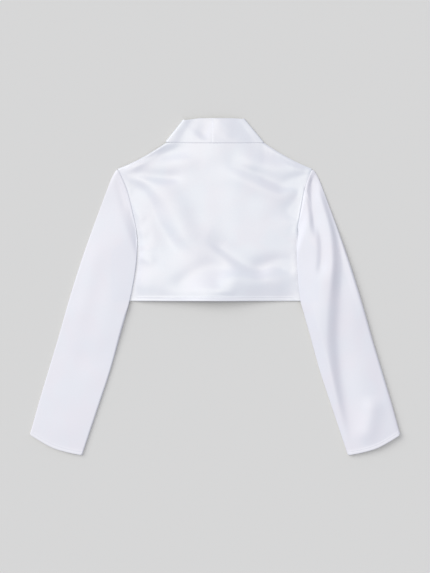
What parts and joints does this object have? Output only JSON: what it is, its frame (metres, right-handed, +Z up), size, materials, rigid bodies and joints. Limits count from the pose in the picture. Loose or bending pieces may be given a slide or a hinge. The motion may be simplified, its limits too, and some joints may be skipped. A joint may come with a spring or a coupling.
{
  "type": "bolero jacket",
  "caption": "Cropped long-sleeved bolero jacket in white satin with a standing collar and an open front, laid out flat with its back up.",
  "frame": {"origin": "middle of the bottom of the garment's box, on the surface that it lies on", "axes": "+X towards the wearer's right sleeve, +Y from the hem towards the collar, +Z up out of the back"},
  "size_m": [0.7766, 0.7063, 0.0194],
  "materials": {
    "satin_body": "white satin with its shiny side out",
    "satin_sleeve": "white satin with a softer sheen"
  },
  "bodies": {
    "root": {"back": "satin_body", "front_left": "satin_body", "front_right": "satin_body", "collar_left": "satin_body", "collar_right": "satin_body", "sleeve_left": "satin_sleeve", "sleeve_right": "satin_sleeve"}
  },
  "joints": []
}
